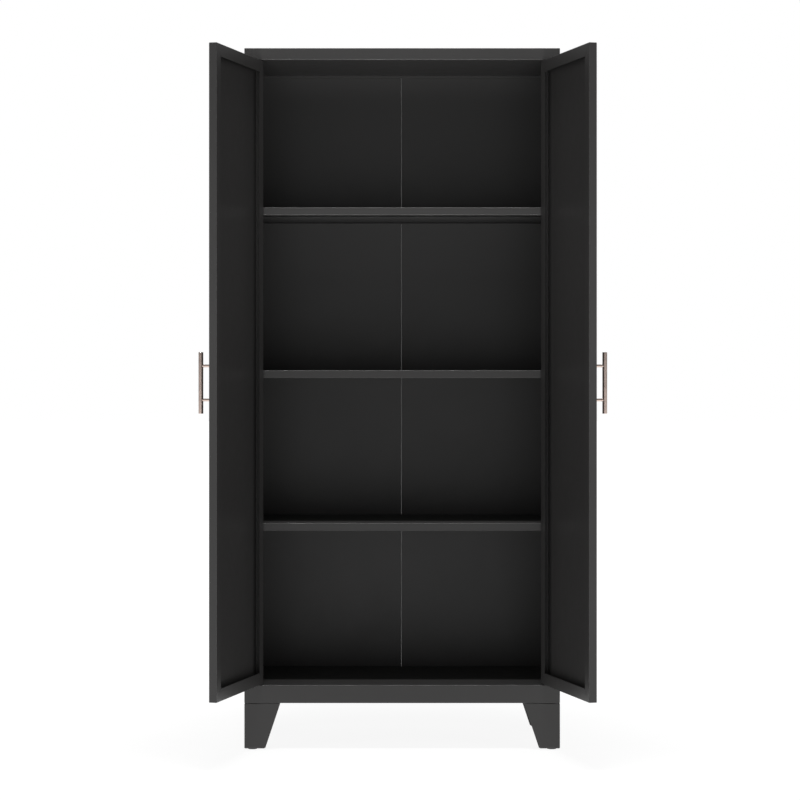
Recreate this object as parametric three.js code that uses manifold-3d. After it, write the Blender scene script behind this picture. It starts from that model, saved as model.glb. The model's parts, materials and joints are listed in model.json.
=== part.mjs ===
// Tall pantry cabinet of folded sheet steel, with two inset doors, three
// adjustable shelves and four tapered legs. Millimetres, +Z up, front towards -Y.
// The doors are modelled wide open, standing against their stops.

import * as THREE from 'three';
import { mergeVertices } from 'three/addons/utils/BufferGeometryUtils.js';
import Module from 'manifold-3d';

const wasm = await Module();
wasm.setup();

// ---- Driving dimensions -------------------------------------------------

const WIDTH = 800; // outer width of the body
const DEPTH = 400; // outer depth of the body
const SHEET = 0.8; // steel of the panels, doors and shelves
const BEND = 2; // outside radius of a fold in that steel
const GAP = 0.3; // assembly clearance between two pieces that meet
const CHAMFER = 1; // on the ends of pins, studs and screw heads

const FOOT_HEIGHT = 3; // the glide's pad
const LEG_HEIGHT = 115; // from the pad to the underside of the base
const LEG_SHEET = 1.5;
const LEG_TOP = 91; // width of each face of a leg at the top
const LEG_BOTTOM = 53; // and at the foot
const LEG_FLANGE = 22;
const FLANGE_START = 4; // flange's ends, in from the free edges of the leg's faces
const FOOT_START = 2; // the same for the foot plate
const FLANGE_SLANT = 6; // both are this much shorter along their inner edges
const FOOT_NECK = 16; // foot plate's corner, from both outer faces

const BASE_RAIL = 46; // height of the base panel's front rail
const TOP_RAIL = 30; // height of the top panel's front rail
const BODY_HEIGHT = 1660; // underside of the base to the top face
const RAIL_LIP = 20; // return lip along the lower edge of both rails
const LINER_RISE = 7; // the ceiling lies this far above the top rail's lower edge
const LINER_BEARING = 5; // how far the liner's edges rest on the lips
const LINER_UPTURN = 12; // its rear edge, folded up against the top panel's rear edge

const STILE_WIDTH = 25; // front face of a side panel
const STILE_DEPTH = 20;
const STILE_LIP = 15;
const REAR_FLANGE = 20;
const SIDE_TAB = 18; // inward tabs at a side panel's top and bottom
const TAB_SETBACK = 8; // their ends, from the stile and from the rear flange
const BACK_MARGIN = 6; // back panels end this far inside the body's top and bottom
const HEM = 12; // folded edge at the back's centre seam

const DOOR_THICKNESS = 20;
const DOOR_LIP = 30;
const DOOR_BEND = 1.5;
const DOOR_GAP = 2; // round three sides of a closed door
const CENTRE_GAP = 3; // between the two closed doors
const OPEN_ANGLE = THREE.MathUtils.degToRad(104.5);
const PIVOT_INSET = 6; // pin's axis, from the door's hinge edge
const PIVOT_DEPTH = 6; // pin's axis, behind the front face

const PIN_RADIUS = 2.5;
const PIN_HEAD_RADIUS = 4.5;
const PIN_HEAD_HEIGHT = 2.5;
const PIN_PAST_SHEET = 4.5; // pin's end, past the sheet that its bush sits in
const BUSH_RADIUS = 3.7;
const BUSH_FLANGE_RADIUS = 5.5;
const BUSH_WALL_BELOW = 3; // barrel past the sheet that it sits in

const SHELF_SETBACK = 24; // front edge of a shelf, behind the front face
const SHELF_DEPTH = 372;
const SHELF_WIDTH = 778;
const SHELF_THICKNESS = 20;
const SHELF_LIP = 14;
const SLOT_PITCH = 25.9;
const LOWEST_SHELF = 553; // underside of the lowest shelf
const SHELF_STEPS = [0, 15, 31]; // slot steps from the lowest shelf to each shelf

const STRIP_WIDTH = 20;
const STRIP_DEPTH = 8;
const STRIP_SHEET = 1;
const STRIP_FRONT = 50; // centre line of the front strips, behind the front face
const STRIP_REAR = 350;
const STRIP_MARGIN = 60; // strip's end, from the floor and from the ceiling
const SLOT_WIDTH = 14;
const SLOT_HEIGHT = 4;
const SLOTS_BELOW = 11; // slots under the lowest shelf's own
const SLOTS_ABOVE = 41;

const CLIP_WIDTH = 12;
const CLIP_SHEET = 1.5;
const CLIP_BEND = 1.95; // outside radius
const CLIP_RISE = 16; // from the tab up to the slot
const CLIP_TAB = 13;
const CLIP_HOOK = 8;
const HOOK_GAP = 0.4; // between the hook and the back of the slotted face

const GLIDE_RADIUS = 12;
const GLIDE_INSET = 20; // from both outer faces of the leg
const PAD_CROWN = { rise: 0.7, run: 3 }; // slope round the top of a glide's pad
const STUD_RADIUS = 4;
const STUD_LENGTH = 26;
const NUT_RADIUS = 7.5; // across corners, halved
const NUT_HEIGHT = 6.5;

const HANDLE_LENGTH = 148;
const HANDLE_RADIUS = 5.75;
const BAR_CHAMFER = 0.8;
const HANDLE_STANDOFF = 31; // bar's axis, from the door's face
const HANDLE_INSET = 32; // bar's axis, from the door's free edge
const HANDLE_HEIGHT = 931; // bar's middle, above the floor
const POST_SPACING = 82;
const POST_RADIUS = 3.4;
const SCREW_RADIUS = 2;
const SCREW_HEAD_RADIUS = 4;
const SCREW_HEAD_HEIGHT = 2.4;
const SCREW_REACH = 14; // into the post

const MAGNET = { length: 30, depth: 14, height: 6, inset: 12 };

// ---- Levels and faces worked out from them ------------------------------

const HALF_WIDTH = WIDTH / 2;
const BASE_BOTTOM = FOOT_HEIGHT + LEG_HEIGHT;
const FLOOR = BASE_BOTTOM + BASE_RAIL;
const TOP = BASE_BOTTOM + BODY_HEIGHT;
const TOP_RAIL_BOTTOM = TOP - TOP_RAIL;
const CEILING = TOP_RAIL_BOTTOM + LINER_RISE;
const STILE_EDGE = HALF_WIDTH - STILE_WIDTH;
const BACK_FACE = DEPTH - SHEET - GAP - SHEET; // inner face of the back panels
const BOX_DEPTH = BACK_FACE - GAP; // depth of the top and base panels
const DOOR_BOTTOM = FLOOR + DOOR_GAP;
const DOOR_TOP = TOP_RAIL_BOTTOM - DOOR_GAP;
const DOOR_HINGE_EDGE = STILE_EDGE - DOOR_GAP;
const DOOR_WIDTH = DOOR_HINGE_EDGE - CENTRE_GAP / 2;
const PIVOT_X = DOOR_HINGE_EDGE - PIVOT_INSET;
const STRIP_FACE = HALF_WIDTH - SHEET - STRIP_DEPTH;
const PIN_REACH = DOOR_GAP + SHEET + PIN_PAST_SHEET;

const ROUND = 16; // facets of a small round piece
const FINE_ROUND = 32; // facets of a handle bar
const FOLD_STEPS = 3; // facets of a fold
const OVERCUT = 1; // how far a cutter or a joined block runs past the face that it meets
const MERGE_DISTANCE = 1e-4;

// ---- Finishes -----------------------------------------------------------

const FINISHES = {
  powderCoat: { color: 0x3e3d3d, roughness: 0.48, metalness: 0.0 },
  doorPaint: { color: 0x3b3a3a, roughness: 0.36, metalness: 0.0 },
  roseMetal: { color: 0xc6a18c, roughness: 0.3, metalness: 1.0 },
  zincPlate: { color: 0xb9bcc0, roughness: 0.35, metalness: 1.0 },
  nylon: { color: 0x1d1d1e, roughness: 0.6, metalness: 0.0 },
  magnet: { color: 0x2a2a2c, roughness: 0.45, metalness: 0.6 },
};

function finish(name) {
  return new THREE.MeshStandardMaterial({ ...FINISHES[name] });
}

// ---- Solids -------------------------------------------------------------

function toSolid(geometry) {
  const bare = geometry.clone();
  bare.deleteAttribute('normal');
  bare.deleteAttribute('uv');
  const merged = mergeVertices(bare, MERGE_DISTANCE);
  const triVerts = new Uint32Array(merged.index.array);
  const vertProperties = new Float32Array(merged.attributes.position.array);
  return new wasm.Manifold(new wasm.Mesh({ numProp: 3, vertProperties, triVerts }));
}

function toGeometry(solid) {
  const mesh = solid.getMesh();
  const geometry = new THREE.BufferGeometry();
  geometry.setAttribute('position', new THREE.BufferAttribute(mesh.vertProperties, 3));
  geometry.setIndex(new THREE.BufferAttribute(mesh.triVerts, 1));
  geometry.computeVertexNormals();
  return geometry;
}

// A block between two corners.
function block(low, high) {
  const size = high.map((value, axis) => value - low[axis]);
  const geometry = new THREE.BoxGeometry(...size);
  geometry.translate(...high.map((value, axis) => (value + low[axis]) / 2));
  return geometry;
}

// An outline in the XY plane raised from one height to another.
function prism(points, bottom, top) {
  const shape = new THREE.Shape(points.map(([x, y]) => new THREE.Vector2(x, y)));
  const geometry = new THREE.ExtrudeGeometry(shape, { depth: top - bottom, bevelEnabled: false });
  geometry.translate(0, 0, bottom);
  return geometry;
}

// A round piece about the Z axis, from its half section of [radius, height] points.
function turned(section, facets = ROUND) {
  return new THREE.LatheGeometry(section.map(([r, z]) => new THREE.Vector2(r, z)), facets)
    .rotateX(Math.PI / 2);
}

function cylinder(radius, bottom, top, facets = ROUND) {
  return turned([[0, bottom], [radius, bottom], [radius, top], [0, top]], facets);
}

// Swings a shape that was drawn along Z so that it runs along Y.
function alongY(geometry) {
  return geometry.rotateX(-Math.PI / 2);
}

function arc(centre, radius, from, to, steps) {
  return Array.from({ length: steps + 1 }, (_, i) => {
    const angle = from + ((to - from) * i) / steps;
    return [centre[0] + radius * Math.cos(angle), centre[1] + radius * Math.sin(angle)];
  });
}

// A rectangle from [0, 0] to [width, depth] with round corners.
function roundRectangle(width, depth, radius, inset = 0) {
  const quarter = Math.PI / 2;
  const low = radius;
  const far = [width - radius, depth - radius];
  const r = radius - inset;
  return [
    ...arc([far[0], far[1]], r, 0, quarter, FOLD_STEPS),
    ...arc([low, far[1]], r, quarter, 2 * quarter, FOLD_STEPS),
    ...arc([low, low], r, 2 * quarter, 3 * quarter, FOLD_STEPS),
    ...arc([far[0], low], r, 3 * quarter, 4 * quarter, FOLD_STEPS),
  ];
}

// The cut section of a sheet bent along a path through the middle of its thickness.
function bentSheet(path, thickness, outsideRadius) {
  const radius = outsideRadius - thickness / 2;
  const left = [];
  const right = [];
  const addPair = (point, normal) => {
    const offset = normal.clone().multiplyScalar(thickness / 2);
    left.push(point.clone().add(offset));
    right.push(point.clone().sub(offset));
  };
  const points = path.map(([x, y]) => new THREE.Vector2(x, y));
  points.forEach((point, i) => {
    const before = i > 0 ? point.clone().sub(points[i - 1]).normalize() : null;
    const after = i < points.length - 1 ? points[i + 1].clone().sub(point).normalize() : null;
    if (!before || !after) {
      const way = before ?? after;
      addPair(point, new THREE.Vector2(-way.y, way.x));
      return;
    }
    const turn = Math.atan2(before.cross(after), before.dot(after));
    const reach = radius * Math.tan(Math.abs(turn) / 2);
    const normal = new THREE.Vector2(-before.y, before.x);
    const side = Math.sign(turn);
    const centre = point.clone().addScaledVector(before, -reach).addScaledVector(normal, side * radius);
    for (let k = 0; k <= FOLD_STEPS; k += 1) {
      const spoke = normal.clone().rotateAround(new THREE.Vector2(), (turn * k) / FOLD_STEPS);
      addPair(centre.clone().addScaledVector(spoke, -side * radius), spoke);
    }
  });
  return [...left, ...right.reverse()].map((p) => [p.x, p.y]);
}

// A pan: a skin at Y = 0 with its four edges folded back and returned inwards
// as lips. Width runs along X, depth along Y and length along Z. The lip at the
// far edge of the width can be narrower than the others, or left out.
function pan({ width, depth, length, lip, radius, farLip = lip }) {
  const outer = toSolid(prism(roundRectangle(width, depth, radius), 0, length));
  const inner = toSolid(prism(roundRectangle(width, depth, radius, SHEET), SHEET, length - SHEET));
  const window = toSolid(block(
    [lip, depth / 2, lip],
    [width - farLip, depth + OVERCUT, length - lip],
  ));
  return outer.subtract(inner).subtract(window);
}

// Turns a pan over so that its skin is on top: width along Y and length along X,
// centred on X = 0, with its front edge at frontY and its upper face at topZ.
function layFlat(solid, length, frontY, topZ) {
  const turn = new THREE.Matrix4().makeBasis(
    new THREE.Vector3(0, 1, 0),
    new THREE.Vector3(0, 0, -1),
    new THREE.Vector3(-1, 0, 0),
  );
  turn.setPosition(length / 2, frontY, topZ);
  return solid.transform(turn.elements);
}

function drill(solid, x, y, radius, bottom, top) {
  return solid.subtract(toSolid(cylinder(radius, bottom, top).translate(x, y, 0)));
}

// ---- Body panels --------------------------------------------------------

// The top's rear edge has no lip, so that the ceiling runs on to the back.
function topPanel() {
  const raw = pan({
    width: BOX_DEPTH, depth: TOP_RAIL, length: WIDTH, lip: RAIL_LIP, radius: BEND, farLip: SHEET,
  });
  let solid = layFlat(raw, WIDTH, 0, TOP);
  for (const side of [-1, 1]) {
    const hole = [side * PIVOT_X, PIVOT_DEPTH, BUSH_RADIUS + GAP];
    solid = drill(solid, ...hole, TOP_RAIL_BOTTOM - OVERCUT, TOP_RAIL_BOTTOM + SHEET + OVERCUT);
  }
  return solid;
}

// The front and side edges stand on the top panel's lips, and the rear edge is
// turned up.
function ceilingLiner() {
  const edge = RAIL_LIP - LINER_BEARING;
  const bottom = TOP_RAIL_BOTTOM + SHEET + GAP;
  const half = HALF_WIDTH - edge;
  const rear = BOX_DEPTH - BEND - GAP;
  const tray = toSolid(block([-half, edge, bottom], [half, rear, CEILING + SHEET]));
  const hollow = block(
    [SHEET - half, edge + SHEET, bottom - OVERCUT],
    [half - SHEET, rear + OVERCUT, CEILING],
  );
  const upturn = block([-half, rear - SHEET, CEILING], [half, rear, CEILING + LINER_UPTURN]);
  return tray.subtract(toSolid(hollow)).add(toSolid(upturn));
}

function basePanel() {
  const raw = pan({ width: BOX_DEPTH, depth: BASE_RAIL, length: WIDTH, lip: RAIL_LIP, radius: BEND });
  let solid = layFlat(raw, WIDTH, 0, FLOOR);
  for (const side of [-1, 1]) {
    const hole = [side * PIVOT_X, PIVOT_DEPTH, BUSH_RADIUS + GAP];
    solid = drill(solid, ...hole, FLOOR - SHEET - OVERCUT, FLOOR + OVERCUT);
  }
  return solid;
}

// Front stile, wall and rear flange are one bent sheet, with a tab at each end
// that is screwed to the base panel and to the top panel.
function sidePanel(side) {
  const mid = SHEET / 2;
  const bottom = FLOOR + GAP;
  const top = TOP_RAIL_BOTTOM - GAP;
  const wall = HALF_WIDTH - mid;
  const section = bentSheet([
    [side * (STILE_EDGE + STILE_LIP), STILE_DEPTH - mid],
    [side * (STILE_EDGE + mid), STILE_DEPTH - mid],
    [side * (STILE_EDGE + mid), mid],
    [side * wall, mid],
    [side * wall, DEPTH - mid],
    [side * (HALF_WIDTH - REAR_FLANGE), DEPTH - mid],
  ], SHEET, BEND);
  let solid = toSolid(prism(section, bottom, top));
  const tabFrom = STILE_DEPTH + TAB_SETBACK;
  const tabTo = DEPTH - REAR_FLANGE - TAB_SETBACK;
  for (const level of [bottom, top - SHEET]) {
    const ends = [side * (HALF_WIDTH - mid), side * (HALF_WIDTH - SIDE_TAB)].sort((a, b) => a - b);
    const tab = block([ends[0], tabFrom, level], [ends[1], tabTo, level + SHEET]);
    solid = solid.add(toSolid(tab));
  }
  return solid;
}

// Half of the back: a flat sheet that laps the rear edges of the base and the
// top, with a hem folded flat behind it along the centre seam.
function backPanel(side) {
  const seam = GAP / 2;
  const bottom = BASE_BOTTOM + BACK_MARGIN;
  const top = TOP - BACK_MARGIN;
  const span = [side * seam, side * (HALF_WIDTH - BEND - GAP)].sort((a, b) => a - b);
  const wall = block([span[0], BACK_FACE, bottom], [span[1], BACK_FACE + SHEET, top]);
  const hemSpan = [side * seam, side * (seam + HEM)].sort((a, b) => a - b);
  const middle = BACK_FACE + SHEET / 2;
  const hem = block([hemSpan[0], middle, bottom], [hemSpan[1], middle + SHEET + GAP, top]);
  return toSolid(wall).add(toSolid(hem));
}

// ---- Shelves and what carries them --------------------------------------

function shelfBottom(step) {
  return LOWEST_SHELF + step * SLOT_PITCH;
}

function slotLevel(step) {
  return shelfBottom(step) - GAP - CLIP_SHEET / 2 + CLIP_RISE;
}

function shelf(step) {
  const raw = pan({
    width: SHELF_DEPTH, depth: SHELF_THICKNESS, length: SHELF_WIDTH, lip: SHELF_LIP, radius: BEND,
  });
  return layFlat(raw, SHELF_WIDTH, SHELF_SETBACK, shelfBottom(step) + SHELF_THICKNESS);
}

// A channel with its open side to the wall and a row of slots in its face.
function slottedStrip(side, centreY) {
  const mid = STRIP_SHEET / 2;
  const wall = side * (HALF_WIDTH - SHEET - GAP);
  const face = side * (STRIP_FACE + mid);
  const half = STRIP_WIDTH / 2 - mid;
  const section = bentSheet([
    [wall, centreY - half],
    [face, centreY - half],
    [face, centreY + half],
    [wall, centreY + half],
  ], STRIP_SHEET, BEND);
  const channel = toSolid(prism(section, FLOOR + STRIP_MARGIN, CEILING - STRIP_MARGIN));
  const across = [face - 2 * STRIP_SHEET, face + 2 * STRIP_SHEET];
  const slots = [];
  for (let step = -SLOTS_BELOW; step <= SLOTS_ABOVE; step += 1) {
    const z = slotLevel(step);
    slots.push(toSolid(block(
      [across[0], centreY - SLOT_WIDTH / 2, z - SLOT_HEIGHT / 2],
      [across[1], centreY + SLOT_WIDTH / 2, z + SLOT_HEIGHT / 2],
    )));
  }
  return channel.subtract(wasm.Manifold.union(slots));
}

// A bent clip: its hook turns up behind the slotted face, and its tab carries the shelf.
function shelfClip(side, centreY, step) {
  const mid = CLIP_SHEET / 2;
  const plate = STRIP_FACE - GAP - mid;
  const hook = STRIP_FACE + STRIP_SHEET + HOOK_GAP + mid;
  const slot = slotLevel(step);
  const tab = slot - CLIP_RISE;
  const section = bentSheet([
    [side * hook, slot + CLIP_HOOK],
    [side * hook, slot],
    [side * plate, slot],
    [side * plate, tab],
    [side * (plate - CLIP_TAB), tab],
  ], CLIP_SHEET, CLIP_BEND);
  const upright = prism(section, -CLIP_WIDTH / 2, CLIP_WIDTH / 2).rotateX(Math.PI / 2);
  return upright.translate(0, centreY, 0);
}

// ---- Legs and glides ----------------------------------------------------

// An angle with its corner at the origin, its faces along +X and +Y, both
// tapered towards the foot, with a flange to screw it on and a foot plate.
function legSolid() {
  const mid = LEG_SHEET / 2;
  const bottom = FOOT_HEIGHT;
  const top = BASE_BOTTOM - GAP;
  const section = bentSheet([[LEG_TOP, mid], [mid, mid], [mid, LEG_TOP]], LEG_SHEET, BEND + mid);
  let solid = toSolid(prism(section, bottom, top));
  const flangeEnd = LEG_TOP - FLANGE_START;
  const flange = [
    [mid, mid], [flangeEnd, mid], [flangeEnd - FLANGE_SLANT, LEG_FLANGE],
    [LEG_FLANGE, LEG_FLANGE], [LEG_FLANGE, flangeEnd - FLANGE_SLANT], [mid, flangeEnd],
  ];
  solid = solid.add(toSolid(prism(flange, top - LEG_SHEET, top)));
  const footEnd = LEG_BOTTOM - FOOT_START;
  const foot = [
    [mid, mid], [footEnd, mid], [footEnd - FLANGE_SLANT, FOOT_NECK],
    [FOOT_NECK, footEnd - FLANGE_SLANT], [mid, footEnd],
  ];
  solid = solid.add(toSolid(prism(foot, bottom, bottom + LEG_SHEET)));
  // The taper: a long wedge taken off the free edge of each face.
  const wedge = [
    [LEG_TOP, -top], [LEG_BOTTOM, -bottom], [LEG_BOTTOM, OVERCUT - bottom],
    [LEG_TOP + OVERCUT, OVERCUT - bottom], [LEG_TOP + OVERCUT, -top],
  ];
  const cutX = prism(wedge, -OVERCUT, LEG_SHEET + OVERCUT).rotateX(-Math.PI / 2);
  const cutY = cutX.clone().applyMatrix4(new THREE.Matrix4().makeRotationZ(Math.PI / 2));
  cutY.translate(LEG_SHEET, 0, 0);
  solid = solid.subtract(toSolid(cutX)).subtract(toSolid(cutY));
  const hole = [GLIDE_INSET, GLIDE_INSET, STUD_RADIUS + GAP];
  return drill(solid, ...hole, bottom - OVERCUT, bottom + LEG_SHEET + OVERCUT);
}

function glide() {
  const padTop = FOOT_HEIGHT - GAP;
  return turned([
    [0, 0], [GLIDE_RADIUS - CHAMFER, 0], [GLIDE_RADIUS, CHAMFER],
    [GLIDE_RADIUS, padTop - PAD_CROWN.rise], [GLIDE_RADIUS - PAD_CROWN.run, padTop],
    [STUD_RADIUS, padTop], [STUD_RADIUS, STUD_LENGTH - CHAMFER],
    [STUD_RADIUS - CHAMFER, STUD_LENGTH], [0, STUD_LENGTH],
  ]).translate(GLIDE_INSET, GLIDE_INSET, 0);
}

function glideNut() {
  const bottom = FOOT_HEIGHT + LEG_SHEET + GAP;
  const top = bottom + NUT_HEIGHT;
  const hexagon = toSolid(cylinder(NUT_RADIUS, bottom, top, 6));
  return drill(hexagon, 0, 0, STUD_RADIUS + GAP, bottom - OVERCUT, top + OVERCUT)
    .translate([GLIDE_INSET, GLIDE_INSET, 0]);
}

// ---- Doors --------------------------------------------------------------

// All door pieces are drawn closed, about their own pivot, and swung together.
function doorShell(side) {
  const low = [side > 0 ? PIVOT_INSET - DOOR_WIDTH : -PIVOT_INSET, -PIVOT_DEPTH, DOOR_BOTTOM];
  const length = DOOR_TOP - DOOR_BOTTOM;
  let solid = pan({
    width: DOOR_WIDTH, depth: DOOR_THICKNESS, length, lip: DOOR_LIP, radius: DOOR_BEND,
  }).translate(low);
  for (const level of [DOOR_BOTTOM, DOOR_TOP]) {
    const reach = SHEET + OVERCUT;
    solid = drill(solid, 0, 0, PIN_RADIUS + GAP, level - reach, level + reach);
  }
  for (const z of postLevels()) {
    const hole = alongY(cylinder(SCREW_RADIUS + GAP, -OVERCUT, SHEET + OVERCUT));
    solid = solid.subtract(toSolid(hole.translate(handleX(side), -PIVOT_DEPTH, z)));
  }
  return solid;
}

function handleX(side) {
  return -side * (DOOR_WIDTH - PIVOT_INSET - HANDLE_INSET);
}

function postLevels() {
  return [HANDLE_HEIGHT - POST_SPACING / 2, HANDLE_HEIGHT + POST_SPACING / 2];
}

// A headed pin, standing up from the top edge of a door or hanging from its
// bottom edge. The head is inside the door's edge channel.
function pivotPin(level, way) {
  const head = SHEET + GAP + PIN_HEAD_HEIGHT;
  const pin = turned([
    [0, -head], [PIN_HEAD_RADIUS, -head], [PIN_HEAD_RADIUS, -SHEET - GAP],
    [PIN_RADIUS, -SHEET - GAP], [PIN_RADIUS, PIN_REACH - CHAMFER],
    [PIN_RADIUS - CHAMFER, PIN_REACH], [0, PIN_REACH],
  ]);
  if (way < 0) pin.rotateX(Math.PI);
  return pin.translate(0, 0, level);
}

// A flanged sleeve. Its flange lies between the door's edge and the rail's sheet.
function bush(level, way, flange) {
  const bore = PIN_RADIUS + GAP;
  const barrel = GAP + SHEET + BUSH_WALL_BELOW;
  const sleeve = turned([
    [bore, 0], [BUSH_FLANGE_RADIUS, 0], [BUSH_FLANGE_RADIUS, flange],
    [BUSH_RADIUS, flange], [BUSH_RADIUS, flange + barrel], [bore, flange + barrel], [bore, 0],
  ]);
  if (way < 0) sleeve.rotateX(Math.PI);
  return sleeve.translate(0, 0, level);
}

function handleBar(side) {
  const half = HANDLE_LENGTH / 2;
  const bar = turned([
    [0, -half], [HANDLE_RADIUS - BAR_CHAMFER, -half], [HANDLE_RADIUS, BAR_CHAMFER - half],
    [HANDLE_RADIUS, half - BAR_CHAMFER], [HANDLE_RADIUS - BAR_CHAMFER, half], [0, half],
  ], FINE_ROUND);
  return bar.translate(handleX(side), -PIVOT_DEPTH - HANDLE_STANDOFF, HANDLE_HEIGHT);
}

// A post from the door's face to the bar, with its end hollowed to fit the bar
// and a threaded hole up its middle for the screw.
function handlePost(side, z) {
  const post = toSolid(alongY(cylinder(POST_RADIUS, GAP, HANDLE_STANDOFF)).rotateZ(Math.PI));
  const seat = cylinder(HANDLE_RADIUS + GAP, -HANDLE_RADIUS, HANDLE_RADIUS, FINE_ROUND);
  seat.translate(0, -HANDLE_STANDOFF, 0);
  const bore = alongY(cylinder(SCREW_RADIUS + GAP, -OVERCUT, SCREW_REACH + OVERCUT));
  bore.rotateZ(Math.PI);
  const solid = post.subtract(toSolid(seat)).subtract(toSolid(bore));
  return solid.translate([handleX(side), -PIVOT_DEPTH, z]);
}

// The screw's head is inside the door, and its shank passes through the skin.
function handleScrew(side, z) {
  const face = SHEET + GAP;
  const screw = turned([
    [0, -SCREW_REACH], [SCREW_RADIUS, -SCREW_REACH], [SCREW_RADIUS, face],
    [SCREW_HEAD_RADIUS, face], [SCREW_HEAD_RADIUS, face + SCREW_HEAD_HEIGHT - CHAMFER],
    [SCREW_HEAD_RADIUS - CHAMFER, face + SCREW_HEAD_HEIGHT], [0, face + SCREW_HEAD_HEIGHT],
  ]);
  return alongY(screw).translate(handleX(side), -PIVOT_DEPTH, z);
}

// Hidden in the top channel near the free edge; it holds to the top rail's lip.
function doorMagnet(side) {
  const free = -side * (DOOR_WIDTH - PIVOT_INSET);
  const ends = [free + side * MAGNET.inset, free + side * (MAGNET.inset + MAGNET.length)];
  ends.sort((a, b) => a - b);
  const front = (DOOR_THICKNESS - MAGNET.depth) / 2 - PIVOT_DEPTH;
  const top = DOOR_TOP - SHEET - GAP;
  return block([ends[0], front, top - MAGNET.height], [ends[1], front + MAGNET.depth, top]);
}

// ---- Assembly -----------------------------------------------------------

const cabinet = new THREE.Group();

function addPart(parent, name, shape, finishName) {
  const geometry = shape.isBufferGeometry ? shape : toGeometry(shape);
  const mesh = new THREE.Mesh(geometry, finish(finishName));
  mesh.name = name;
  parent.add(mesh);
  return mesh;
}

const SIDES = [['left', -1], ['right', 1]];

addPart(cabinet, 'top_panel', topPanel(), 'powderCoat');
addPart(cabinet, 'ceiling_liner', ceilingLiner(), 'powderCoat');
addPart(cabinet, 'base_panel', basePanel(), 'powderCoat');
for (const [word, side] of SIDES) {
  addPart(cabinet, `${word}_side_panel`, sidePanel(side), 'powderCoat');
  addPart(cabinet, `${word}_back_panel`, backPanel(side), 'powderCoat');
  for (const [place, y] of [['front', STRIP_FRONT], ['rear', STRIP_REAR]]) {
    addPart(cabinet, `${place}_${word}_slotted_strip`, slottedStrip(side, y), 'powderCoat');
  }
}

const SHELF_NAMES = ['lower', 'middle', 'upper'];
SHELF_STEPS.forEach((step, i) => {
  addPart(cabinet, `${SHELF_NAMES[i]}_shelf`, shelf(step), 'powderCoat');
  for (const [word, side] of SIDES) {
    for (const [place, y] of [['front', STRIP_FRONT], ['rear', STRIP_REAR]]) {
      const name = `${SHELF_NAMES[i]}_shelf_clip_${place}_${word}`;
      addPart(cabinet, name, shelfClip(side, y, step), 'zincPlate');
    }
  }
});

const CORNERS = [
  ['front_left', -HALF_WIDTH, 0, 0],
  ['front_right', HALF_WIDTH, 0, 1],
  ['rear_right', HALF_WIDTH, DEPTH, 2],
  ['rear_left', -HALF_WIDTH, DEPTH, 3],
];
for (const [word, x, y, quarters] of CORNERS) {
  const corner = new THREE.Group();
  corner.position.set(x, y, 0);
  corner.rotation.z = (quarters * Math.PI) / 2;
  addPart(corner, `${word}_leg`, legSolid(), 'powderCoat');
  addPart(corner, `${word}_glide`, glide(), 'nylon');
  addPart(corner, `${word}_glide_nut`, glideNut(), 'zincPlate');
  cabinet.add(corner);
}

for (const [word, side] of SIDES) {
  const hinge = new THREE.Group();
  hinge.position.set(side * PIVOT_X, PIVOT_DEPTH, 0);
  const upperFlange = DOOR_GAP / 2;
  const lowerFlange = DOOR_GAP - 2 * GAP;
  addPart(hinge, `${word}_upper_bush`, bush(TOP_RAIL_BOTTOM - GAP - upperFlange, 1, upperFlange), 'nylon');
  addPart(hinge, `${word}_lower_bush`, bush(FLOOR + GAP + lowerFlange, -1, lowerFlange), 'nylon');

  const door = new THREE.Group();
  door.rotation.z = side * OPEN_ANGLE;
  addPart(door, `${word}_door_shell`, doorShell(side), 'doorPaint');
  addPart(door, `${word}_upper_pivot_pin`, pivotPin(DOOR_TOP, 1), 'zincPlate');
  addPart(door, `${word}_lower_pivot_pin`, pivotPin(DOOR_BOTTOM, -1), 'zincPlate');
  addPart(door, `${word}_handle_bar`, handleBar(side), 'roseMetal');
  for (const [place, z] of [['lower', postLevels()[0]], ['upper', postLevels()[1]]]) {
    addPart(door, `${word}_handle_${place}_post`, handlePost(side, z), 'roseMetal');
    addPart(door, `${word}_handle_${place}_screw`, handleScrew(side, z), 'zincPlate');
  }
  addPart(door, `${word}_door_magnet`, doorMagnet(side), 'magnet');
  hinge.add(door);
  cabinet.add(hinge);
}

// The origin is under the middle of the whole object's box, doors open.
cabinet.updateMatrixWorld(true);
const box = new THREE.Box3().setFromObject(cabinet, true);
cabinet.position.y = -(box.min.y + box.max.y) / 2;

export default cabinet;
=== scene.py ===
"""Looks of a tall pantry cabinet of folded sheet steel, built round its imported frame."""

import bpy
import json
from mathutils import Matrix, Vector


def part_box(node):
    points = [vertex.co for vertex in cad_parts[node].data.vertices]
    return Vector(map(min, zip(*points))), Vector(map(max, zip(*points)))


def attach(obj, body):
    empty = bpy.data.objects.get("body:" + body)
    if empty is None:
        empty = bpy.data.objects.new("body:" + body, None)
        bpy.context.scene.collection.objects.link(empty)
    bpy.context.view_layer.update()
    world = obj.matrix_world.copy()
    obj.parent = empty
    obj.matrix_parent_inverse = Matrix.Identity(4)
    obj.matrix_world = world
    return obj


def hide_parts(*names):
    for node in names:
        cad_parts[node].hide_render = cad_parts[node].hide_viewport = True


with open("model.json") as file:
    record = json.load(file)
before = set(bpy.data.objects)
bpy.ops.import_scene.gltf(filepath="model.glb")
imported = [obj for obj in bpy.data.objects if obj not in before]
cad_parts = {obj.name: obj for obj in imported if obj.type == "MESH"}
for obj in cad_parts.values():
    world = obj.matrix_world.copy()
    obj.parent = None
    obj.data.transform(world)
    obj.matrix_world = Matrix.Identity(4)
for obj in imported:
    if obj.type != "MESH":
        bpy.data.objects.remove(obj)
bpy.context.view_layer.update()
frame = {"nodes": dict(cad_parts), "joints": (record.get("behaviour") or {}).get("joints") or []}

import json
import logging
import math
from dataclasses import dataclass, field
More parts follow.
